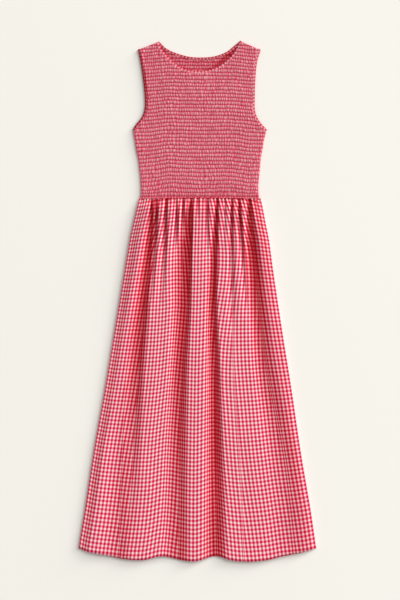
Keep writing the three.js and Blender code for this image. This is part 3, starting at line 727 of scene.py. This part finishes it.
def bodice_places(neck, rows, columns):
    """Grid over a bodice panel. Its columns fan between the side seams and armholes. Each
    ends at the shoulder line or at the neck, where the two meet the line of the column."""
    left_hole = tucked(armhole_table("left", False))
    right_hole = tucked(armhole_table("right", True))[::-1]
    neck_line = tucked(neck)

    def side(name, hole, pick, y):
        seam = read_table(BODICE_SIDES, "y", name, np.minimum(y, SIDE_TOP_Y))
        edge = np.interp(y, hole[:, 1], hole[:, 0])
        return np.where(y < hole[0, 1], seam, pick(seam, edge))

    def across(share, y):
        left = side("left", left_hole, np.maximum, y)
        right = side("right", right_hole, np.minimum, y)
        return mix(left, right, share)

    left_end, right_end = left_hole[-1, 0] - SHOULDER_REACH, right_hole[-1, 0] + SHOULDER_REACH
    slope_left = (neck["y"][0] - ARMHOLES["y"][-1]) / (neck["x"][0] - ARMHOLES["left"][-1])
    slope_right = (neck["y"][-1] - ARMHOLES["y"][-1]) / (neck["x"][-1] - ARMHOLES["right"][-1])
    start = neck["y"][0] + slope_left * (left_end - neck["x"][0])
    stop = neck["y"][-1] + slope_right * (right_end - neck["x"][-1])
    top_x = np.concatenate([[left_end], neck_line[:, 0], [right_end]])
    top_y = np.concatenate([[start], neck_line[:, 1], [stop]])

    share = np.linspace(0, 1, columns)
    top = np.full(columns, 590.0)
    for _ in range(80):
        top = mix(top, np.interp(across(share, top), top_x, top_y), 0.4)
    foot = waist_y(across(share, np.full(columns, WAIST_Y))) + FOOT_CLEAR
    y = mix(top, foot, np.linspace(0, 1, rows)[:, None])
    x = across(share, y)
    seam_left, seam_right = both_sides(BODICE_SIDES, np.minimum(y, SIDE_TOP_Y))
    from_side = np.minimum(x - seam_left, seam_right - x)
    return x, y, from_side


def shirr_row(x, y):
    """Number of the shirring row at a place, counted from the shoulders. The rows droop at
    the sides, open out towards the waist and wander, most of all near the waist."""
    down = np.clip((SHIRR_TOP - y) / (SHIRR_TOP - SHIRR_BOTTOM), 0, 1)
    high = read_table(ROW_DROOP, "x", "high", x)
    low = read_table(ROW_DROOP, "x", "low", x)
    droop = mix(high, low, down) * smooth_step(y, WAIST_Y - 2, WAIST_Y + 26)
    opened = (SHIRR_TOP + SHIRR_ARCH - y - droop) / (SHIRR_TOP - SHIRR_BOTTOM)
    ease = 4 * SHIRR_OPENING * (1 + SHIRR_OPENING) * opened
    share = (np.sqrt(np.maximum(1 + ease, 0)) - 1) / (2 * SHIRR_OPENING)
    row = SHIRR_ROWS * share
    near_waist = np.exp(-np.maximum(SHIRR_ROWS - row, 0) / 4.0)
    loose = smooth_step(SHIRR_ROWS - row, 0, 1.5)
    fine, wide = ROW_RIPPLES["fine"], ROW_RIPPLES["wide"]
    wide_part = wide["part"] + wide["near_waist"] * near_waist
    ripple = fine["part"] * wander(fine, x, y) + wide_part * wander(wide, x, y)
    return row + ripple * loose


def pucker_phase(x, y, row):
    """Count of fine gathers across the bodice. Each row of puffs has gathers of its own that
    keep near those of the rows beside it, but drift, crowd and open unevenly."""
    aside, along = (offset * np.floor(row) for offset in ROW_OFFSET)
    own = PUCKER_OWN["part"] * wander(PUCKER_OWN, x + aside, along)
    drift = sum(part["part"] * wander(part, x, y) for part in PUCKER_DRIFTS)
    return x / PUCKER_PITCH + drift + own


def shirred_relief(x, y, row, phase):
    """Height of the shirred cloth over its stitch lines, as a share of a puff: a round puff
    between each two rows, split across by gathers that differ from puff to puff, and some
    deeper streaks that run on over two or three rows."""
    away = np.abs(row - np.round(row))
    puff = np.sin(np.pi * away) ** PUFF_ROUND
    gather = np.cos(2 * np.pi * phase)
    chance = wander(PUFF_CHANCE, phase, np.floor(row))
    streak = wander(PUFF_STREAK, phase, y)
    height = PUFF_FULL + (GATHER["depth"] + GATHER["uneven"] * np.abs(chance)) * gather
    height = height + PUFF_CHANCE["part"] * chance + PUFF_STREAK["part"] * streak
    return puff * height + GATHER["at_stitches"] * (1 - puff) * gather


def stitch_line(relief):
    """Depth of the cloth below a full puff, from 0 on the puffs to 1 at the stitches."""
    return np.clip(1 - relief / PUFF_FULL, 0, 1) ** STITCH_SHADE["power"]


def shirred_places(neck, grid, offset):
    """Grid of a bodice panel with its shirring: x, y, the distance from the nearer side
    seam, the row, the relief and the gingham repeats, one for each gather and each row."""
    x, y, from_side = bodice_places(neck, *grid)
    row = shirr_row(x, y)
    phase = pucker_phase(x + offset, y, row)
    relief = shirred_relief(x + offset, y, row, phase)
    return x, y, from_side, row, relief, np.stack([phase, row], axis=-1)


def armhole_shade(x, y):
    """Painted shade on the front along the left armhole, which widens the shaded strip of its
    binding.
    """
    from_hole = x - np.interp(y, ARMHOLES["y"], ARMHOLES["left"])
    beside = smooth_step(y, *ARMHOLE_SHADE["low"]) * smooth_step(y, *ARMHOLE_SHADE["high"])
    return beside * (1 - smooth_step(from_hole, *ARMHOLE_SHADE["within"]))


def make_front_bodice():
    """The shirred front: puffs over a plain inside, rounded over at the side seams."""
    x, y, from_side, row, relief, uv = shirred_places(FRONT_NECK, FRONT_BODICE_GRID, 0)
    lump = BODICE_LUMPS["height"] * wander(BODICE_LUMPS, x, y)
    reach = np.clip(from_side / ROUND_EDGE, 0, 1)
    rounded = mix(SIDE_EDGE_SHARE, 1, np.sqrt(1 - (1 - reach) ** 2))
    edge = np.where(y < SIDE_TOP_Y - 2, rounded, 1)
    top = FRONT_Z + edge * (BODICE_WALL - STITCH_DIP + lump + PUFF_HEIGHT * relief)
    # Painted shade along the stitch lines between the puffs, over the last rows at the waist and
    # beside the left armhole.
    upwards = smooth_step(y, *STITCH_SHADE["between"])
    line_shade = mix(STITCH_SHADE["low"], STITCH_SHADE["high"], upwards)
    waist_shade = WAIST_ROW_SHADE["tone"] * np.exp((row - SHIRR_ROWS) / WAIST_ROW_SHADE["rows"])
    painted_shade = stitch_line(relief) * line_shade + waist_shade + armhole_shade(x, y)
    return add_slab("front_bodice_cloth", x, y, top, FRONT_Z, uv, np.clip(painted_shade, 0, 1))


def neck_shade(x, y):
    """Painted shadow on the inside back just inside the front neck edge: a faint thin line at the
    left, and a band that widens towards the right shoulder, where the edge stands over it."""
    edge, _, _ = edge_curve(FRONT_NECK, 160)
    away = np.full(x.shape, 99.0)
    for point in edge:
        away = np.minimum(away, np.hypot(x - point[0], y - point[1]))
    reach = mix(NECK_SHADOW["narrow"], NECK_SHADOW["wide"], smooth_step(x, *NECK_SHADOW["widens"]))
    tone = mix(NECK_SHADOW["left"], NECK_SHADOW["right"], smooth_step(x, *NECK_SHADOW["between"]))
    return tone * (1 - smooth_step(away / reach, 0.55, 1.15))


def make_back_bodice():
    """The back: flat underneath, where it lies, with its shirred inside raised where the
    neck shows it."""
    x, y, _, _, relief, uv = shirred_places(BACK_NECK, BACK_BODICE_GRID, BACK_OFFSET)
    shown = smooth_step(y, *INSIDE_SHOWS["y"]) * smooth_step(np.abs(x), *INSIDE_SHOWS["x"])
    top = mix(HIDDEN_HEIGHT, INSIDE_HEIGHT + PUFF_HEIGHT * relief, shown)
    top = np.maximum(top, LEAST_HEIGHT)
    line = stitch_line(relief)
    # Painted shade where the inside shows: all over, along its stitch lines and in the shadow of
    # the front neck edge. Underneath, painted shade along the stitch lines.
    inside = INSIDE_SHADE["all_over"] + INSIDE_SHADE["stitches"] * line
    inside = inside + INSIDE_SHADE["neck"] * neck_shade(x, y)
    painted_shade = shown * np.clip(inside, 0, 1)
    flat = np.zeros_like(top)
    return add_wall("back_bodice_cloth", x, y, top, flat, uv, painted_shade, INSIDE_SHADE["behind"] * line)


def binding_frames(front, back, steps, turn_steps):
    """Places and directions once round a bound opening: along the front edge, over at its
    end, back along the back edge and over again at its start."""
    up = np.array([0.0, 0.0, 1.0])
    (fp, fa, fi), (bp, ba, bi) = edge_curve(front, steps), edge_curve(back, steps)
    radius = (BINDING_FRONT_Z - BINDING_BACK_Z) / 2
    middle = np.array([0, 0, (BINDING_FRONT_Z + BINDING_BACK_Z) / 2])

    def turn(start, stop, side):
        outward = (start[1] + stop[1]) * side / np.linalg.norm(start[1] + stop[1])
        angle = np.linspace(0, np.pi, turn_steps + 2)[1:-1, None]
        facing = np.sin(angle) * outward + side * np.cos(angle) * up
        share = angle / np.pi
        centre = mix(start[0], stop[0], share) + middle + radius * facing
        inward = mix(start[2], stop[2], share)
        return centre, inward / np.linalg.norm(inward, axis=1, keepdims=True), facing

    front_z = fp + up * BINDING_FRONT_Z
    back_z = bp[::-1] + up * BINDING_BACK_Z
    parts = [
        (front_z, fi, np.tile(up, (steps, 1))),
        turn((fp[-1], fa[-1], fi[-1]), (bp[-1], ba[-1], bi[-1]), 1),
        (back_z, bi[::-1], np.tile(-up, (steps, 1))),
        turn((bp[0], ba[0], bi[0]), (fp[0], fa[0], fi[0]), -1),
    ]
    return [np.concatenate([part[i] for part in parts]) for i in range(3)]


def binding_section():
    """Section of the folded strip, as distances into the cloth and heights over its middle:
    a flattened half round, out over the edge and back, and the same again inside it."""
    angle = np.linspace(0, np.pi, BINDING_HALF_SIDES)
    reach = (1 - np.sin(angle) ** 0.8) * BINDING_WIDTH
    outer = BINDING_HALF * np.sign(np.cos(angle)) * np.abs(np.cos(angle)) ** 0.7
    across = np.concatenate([reach, (reach * 0.93 + 0.07 * BINDING_WIDTH)[::-1]])
    through = np.concatenate([outer, 0.5 * outer[::-1]])
    return across, through


def make_binding(name, front, back, seed, outer_shade, back_shade):
    """Folded strip round an opening: a narrow loop of cloth with a rounded outer edge and an
    open inner one, carried along the ring and drawn into small ripples by the elastic."""
    centre, inward, facing = binding_frames(front, back, BINDING_STEPS, BINDING_TURN_STEPS)
    count = len(centre)
    run = running(np.linalg.norm(np.diff(centre, axis=0), axis=1))
    total = run[-1] + np.linalg.norm(centre[0] - centre[-1])
    across, through = binding_section()
    sides = len(across)
    turns = np.round(total / BINDING_RIPPLE_PITCH) * run / total
    wobble = BINDING_WOBBLE["part"] * wander(dict(BINDING_WOBBLE, seed=seed), run, 0 * run)
    ripple = np.sin(2 * np.pi * turns + wobble)
    thickness = (1 + BINDING_RIPPLE * ripple)[:, None, None]
    ring = (centre[:, None] + across[None, :, None] * inward[:, None]
            + thickness * through[None, :, None] * facing[:, None])
    index = np.arange(count)[:, None] * sides
    next_index = (np.arange(count)[:, None] + 1) % count * sides
    side = np.arange(sides)
    next_side = (side + 1) % sides
    corners = (index + side, index + next_side, next_index + next_side, next_index + side)
    faces = np.stack(corners, axis=-1).reshape(-1, 4)
    blocks = round(total / CHECK_ACROSS)
    u = np.append(run, total) / total * blocks
    v = np.append(across, across[0]) / BINDING_WIDTH * BINDING_CHECKS_ACROSS
    corner_u = np.stack([u[:-1], u[:-1], u[1:], u[1:]], axis=-1)[:, None, :].repeat(sides, 1)
    corner_v = np.stack([v[:-1], v[1:], v[1:], v[:-1]], axis=-1)[None].repeat(count, 0)
    corner_uv = np.stack([corner_u, corner_v], axis=-1).reshape(-1, 4, 2)
    # Painted shade in the troughs of the ripples, over the strip where an outer shade is given,
    # and on the part that lies on the back.
    outside = outer_shade * (1 - smooth_step(across / BINDING_WIDTH, 0.85, 1.1))
    behind = back_shade * (1 - facing[:, 2:]) / 2
    painted_shade = np.clip(BINDING_RIPPLE_SHADE * (1 - ripple)[:, None] + outside + behind, 0, 1)
    fields = {"painted_shade": painted_shade.ravel()}
    return add_mesh(name, ring.reshape(-1, 3), faces, corner_uv, fields=fields), total


def turn_outwards(piece):
    """Turns a closed mesh's faces outwards if its volume comes out negative."""
    work = bmesh.new()
    work.from_mesh(piece.data)
    if work.calc_volume(signed=True) < 0:
        bmesh.ops.reverse_faces(work, faces=work.faces)
        work.to_mesh(piece.data)
    work.free()


class Nodes:
    """A node tree being wired: each call adds one node and links or sets its inputs."""

    def __init__(self, tree):
        self.tree = tree

    def add(self, kind, inputs=(), **settings):
        node = self.tree.nodes.new(kind)
        for name, value in settings.items():
            setattr(node, name, value)
        for socket, value in dict(inputs).items():
            if isinstance(value, bpy.types.NodeSocket):
                self.link(value, node.inputs[socket])
            else:
                node.inputs[socket].default_value = value
        return node

    def link(self, source, target):
        self.tree.links.new(source, target)

    def math(self, operation, *values):
        return self.add("ShaderNodeMath", enumerate(values), operation=operation).outputs[0]

    def blend(self, kind, share, first, second):
        inputs = {0: share, 6: first, 7: second}
        return self.add("ShaderNodeMix", inputs, data_type="RGBA", blend_type=kind).outputs[2]


def start_group(name, output, **inputs):
    """New shader node group with one output, given as a title and a kind, and with inputs
    given as titles under their kind: its nodes, its input sockets and its output socket."""
    tree = bpy.data.node_groups.new(name, "ShaderNodeTree")
    for kind, titles in inputs.items():
        for title in titles:
            tree.interface.new_socket(title, in_out="INPUT", socket_type="NodeSocket" + kind)
    title, kind = output
    tree.interface.new_socket(title, in_out="OUTPUT", socket_type="NodeSocket" + kind)
    nodes = Nodes(tree)
    return nodes, nodes.add("NodeGroupInput").outputs, nodes.add("NodeGroupOutput").inputs


def make_gingham_group():
    """Gingham colour from a coloured column across the cloth and a coloured row along it.
    Both together give red, each alone its own mid tone, and neither gives white."""
    nodes, given, out = start_group(
        "gingham_check", ("Color", "Color"),
        Float=("Across", "Along", "Softness", "Across Share", "Along Share"),
        Color=("Red", "Row", "Column", "White"))
    stripes = []
    for axis in ("Across", "Along"):
        half_soft = nodes.math("SUBTRACT", given[axis + " Share"], given["Softness"])
        half_more = nodes.math("ADD", given[axis + " Share"], given["Softness"])
        away = nodes.math("PINGPONG", given[axis], 0.5)
        doubled = nodes.math("MULTIPLY", away, 2.0)
        stripes.append(nodes.add(
            "ShaderNodeMapRange",
            {"Value": doubled, "From Min": half_soft, "From Max": half_more,
             "To Min": 1.0, "To Max": 0.0},
            interpolation_type="SMOOTHSTEP",
        ).outputs[0])
    column, row = stripes
    between_rows = nodes.blend("MIX", column, given["White"], given["Column"])
    on_rows = nodes.blend("MIX", column, given["Row"], given["Red"])
    nodes.link(nodes.blend("MIX", row, between_rows, on_rows), out["Color"])
    return nodes.tree


def make_weave_group():
    """Plain weave: fine threads that pass over and under each other, as a height."""
    nodes, given, out = start_group(
        "plain_weave", ("Height", "Float"), Float=("Across", "Along", "Threads"))
    waves = []
    for axis in ("Across", "Along"):
        turns = nodes.math("MULTIPLY", given[axis], given["Threads"])
        waves.append(nodes.math("SINE", nodes.math("MULTIPLY", turns, 2 * math.pi)))
    nodes.link(nodes.math("MULTIPLY", *waves), out["Height"])
    return nodes.tree


def make_fold_shade_group():
    """Painted shade inside folds. As the painted shade grows the colour is raised to a power,
    which makes red purer and white pinker, and multiplied by a tint. Half way into a fold it is
    deepened by a second tint of painted shade. It also varies slightly over the cloth."""
    nodes, given, out = start_group(
        "fold_painted_shade", ("Color", "Color"),
        Float=("Painted Shade",), Color=("Color", "Tint", "Half Tint"), Vector=("Place",))
    fade = nodes.add("ShaderNodeTexNoise", {"Vector": given["Place"], "Scale": 9.0, "Detail": 3.0})
    low, high = (0.94, 0.94, 0.95, 1), (1.04, 1.04, 1.04, 1)
    variation = nodes.blend("MIX", fade.outputs[0], low, high)
    varied = nodes.blend("MULTIPLY", 1.0, given["Color"], variation)
    power = nodes.math("MULTIPLY_ADD", given["Painted Shade"], 0.8, 1.0)
    purer = nodes.add("ShaderNodeGamma", {"Color": varied, "Gamma": power}).outputs[0]
    tint = nodes.blend("MIX", given["Painted Shade"], PLAIN_TINT, given["Tint"])
    tinted = nodes.blend("MULTIPLY", 1.0, purer, tint)
    rest = nodes.math("MULTIPLY_ADD", given["Painted Shade"], -4.0, 4.0)
    half_way = nodes.math("MULTIPLY", given["Painted Shade"], rest)
    toned = nodes.blend("MULTIPLY", half_way, tinted, given["Half Tint"])
    nodes.link(toned, out["Color"])
    return nodes.tree


def start_material(name, roughness, sheen):
    """New material with one Principled shader and its constant numbers."""
    material = bpy.data.materials.new(name)
    material.use_nodes = True
    shader = material.node_tree.nodes["Principled BSDF"]
    settings = {
        "Roughness": roughness, "Sheen Weight": sheen, "Sheen Roughness": 0.5,
        "Sheen Tint": SHEEN_RED, "Specular IOR Level": 0.06,
    }
    for socket, value in settings.items():
        shader.inputs[socket].default_value = value
    return material, Nodes(material.node_tree), shader


def gingham_cloth(
    name, colours, softness, column_share, row_share, ragged, threads, tint, half_tint,
):
    """Cotton gingham on a piece's own cloth map, with painted shade in its folds and creases, and
    a fine weave.
    """
    material, nodes, shader = start_material(name, 0.86, 0.08)
    cloth = nodes.add("ShaderNodeUVMap", uv_map="cloth")
    split = nodes.add("ShaderNodeSeparateXYZ", {0: cloth.outputs[0]})
    place = nodes.add("ShaderNodeTexCoord").outputs["Object"]
    noise = {"Vector": place, "Scale": 240.0, "Detail": 1.0}
    jitter = nodes.add("ShaderNodeTexNoise", noise).outputs[0]
    aside = nodes.math("MULTIPLY_ADD", jitter, ragged, -ragged / 2)
    across = nodes.math("ADD", split.outputs[0], aside)
    lengthwise = nodes.math("MULTIPLY_ADD", jitter, ROW_RAGGED, -ROW_RAGGED / 2)
    along = nodes.math("ADD", split.outputs[1], lengthwise)
    check = nodes.add("ShaderNodeGroup", node_tree=groups["gingham"], inputs={
        "Across": across, "Along": along, "Softness": softness,
        "Across Share": column_share, "Along Share": row_share, **colours,
    })
    # Painted shade, given per point, darkens the check where shade falls.
    painted_shade = nodes.add("ShaderNodeAttribute", attribute_name="painted_shade").outputs["Fac"]
    toned = nodes.add("ShaderNodeGroup", node_tree=groups["fold"], inputs={
        "Color": check.outputs["Color"], "Painted Shade": painted_shade, "Tint": tint, "Half Tint": half_tint,
        "Place": place,
    })
    nodes.link(toned.outputs["Color"], shader.inputs["Base Color"])
    weave = nodes.add("ShaderNodeGroup", node_tree=groups["weave"], inputs={
        "Across": split.outputs[0], "Along": split.outputs[1], "Threads": threads,
    })
    bump = nodes.add(
        "ShaderNodeBump",
        {"Height": weave.outputs["Height"], "Strength": 0.25, "Distance": THREAD_HEIGHT})
    nodes.link(bump.outputs[0], shader.inputs["Normal"])
    return material


def surface_finish(name, light, shaded, roughness):
    """Plain pale surface with a painted fall of light: a little lighter from the lower left to
    the upper right, on Object coordinates."""
    material, nodes, shader = start_material(name, roughness, 0.0)
    place = nodes.add("ShaderNodeTexCoord").outputs["Object"]
    split = nodes.add("ShaderNodeSeparateXYZ", {0: place})
    across = nodes.math("MULTIPLY_ADD", split.outputs[0], 0.8, 0.5)
    share = nodes.math("MULTIPLY_ADD", split.outputs[1], 0.35, across)
    share = nodes.add("ShaderNodeClamp", {"Value": share}).outputs[0]
    nodes.link(nodes.blend("MIX", share, shaded, light), shader.inputs["Base Color"])
    return material


groups = {
    "gingham": make_gingham_group(),
    "weave": make_weave_group(),
    "fold": make_fold_shade_group(),
}
finishes = {name: gingham_cloth(name, **look) for name, look in CLOTHS.items()}
floor_finish = surface_finish("pale_surface", FLOOR_CREAM, FLOOR_SHADED, 0.9)

front_skirt = make_front_skirt()
back_skirt = make_back_skirt()
front_bodice = make_front_bodice()
back_bodice = make_back_bodice()
left_hole, right_hole = armhole_table("left", False), armhole_table("right", True)
neck_binding, neck_length = make_binding(
    "neck_binding_strip", FRONT_NECK, BACK_NECK, seed=61, outer_shade=0.0, back_shade=0.35)
left_binding, left_length = make_binding(
    "armhole_binding_left_strip", left_hole, left_hole, seed=62, outer_shade=1.0, back_shade=0.3)
right_binding, right_length = make_binding(
    "armhole_binding_right_strip", right_hole, right_hole, seed=63, outer_shade=0.0, back_shade=0.0)

for piece, node, slot in (
    (front_skirt, "front_skirt", "skirt_gingham"),
    (back_skirt, "back_skirt", "skirt_gingham"),
    (front_bodice, "front_bodice", "shirred_gingham"),
    (back_bodice, "back_bodice", "shirred_gingham"),
    (neck_binding, "neck_binding", "binding_gingham"),
    (left_binding, "armhole_binding_left", "binding_gingham"),
    (right_binding, "armhole_binding_right", "binding_gingham"),
):
    turn_outwards(piece)
    piece.data.materials.append(finishes[slot])
    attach(piece, "root")
    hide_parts(node)

# Surface, light and camera.
FLOOR_HALF = 4.0
FLOOR_CLEAR = 0.0002
floor_mesh = bpy.data.meshes.new("surface")
corners = [(x * FLOOR_HALF, y * FLOOR_HALF, 0) for x, y in ((-1, -1), (1, -1), (1, 1), (-1, 1))]
floor_mesh.from_pydata(corners, [], [(0, 1, 2, 3)])
floor = bpy.data.objects.new("surface", floor_mesh)
floor.location.z = -FLOOR_CLEAR
floor_mesh.materials.append(floor_finish)
bpy.context.scene.collection.objects.link(floor)

# A broad key from the right and above the head end, and a low soft light beside it that
# draws the faint long shadows.
for name, from_right, height, spread, energy in (
    ("soft_key", 36, 30, 44, 2.52),
    ("low_key", 36, 9, 16, 2.9),
):
    sun_data = bpy.data.lights.new(name, "SUN")
    sun_data.energy = energy
    sun_data.angle = math.radians(spread)
    sun_data.color = (1.0, 0.985, 0.96)
    sun = bpy.data.objects.new(name, sun_data)
    sun.rotation_euler = (0, math.radians(90 - height), math.radians(from_right))
    bpy.context.scene.collection.objects.link(sun)

world = bpy.data.worlds.new("studio")
world.use_nodes = True
world.node_tree.nodes["Background"].inputs[0].default_value = (1.0, 0.99, 0.975, 1)
world.node_tree.nodes["Background"].inputs[1].default_value = 0.51
bpy.context.scene.world = world
bpy.context.scene.view_settings.view_transform = "Standard"

# The camera looks straight down, and its frame is 1.44 m long.
FRAME_LENGTH = 1.44
CAMERA_HEIGHT = 3.4
CAMERA_AT = (0.0059, 0.0026)
SENSOR = 36
camera_data = bpy.data.cameras.new("camera")
camera_data.sensor_width = SENSOR
camera_data.lens = SENSOR * CAMERA_HEIGHT / FRAME_LENGTH
camera = bpy.data.objects.new("camera", camera_data)
camera.location = (*CAMERA_AT, CAMERA_HEIGHT)
bpy.context.scene.collection.objects.link(camera)
bpy.context.scene.camera = camera
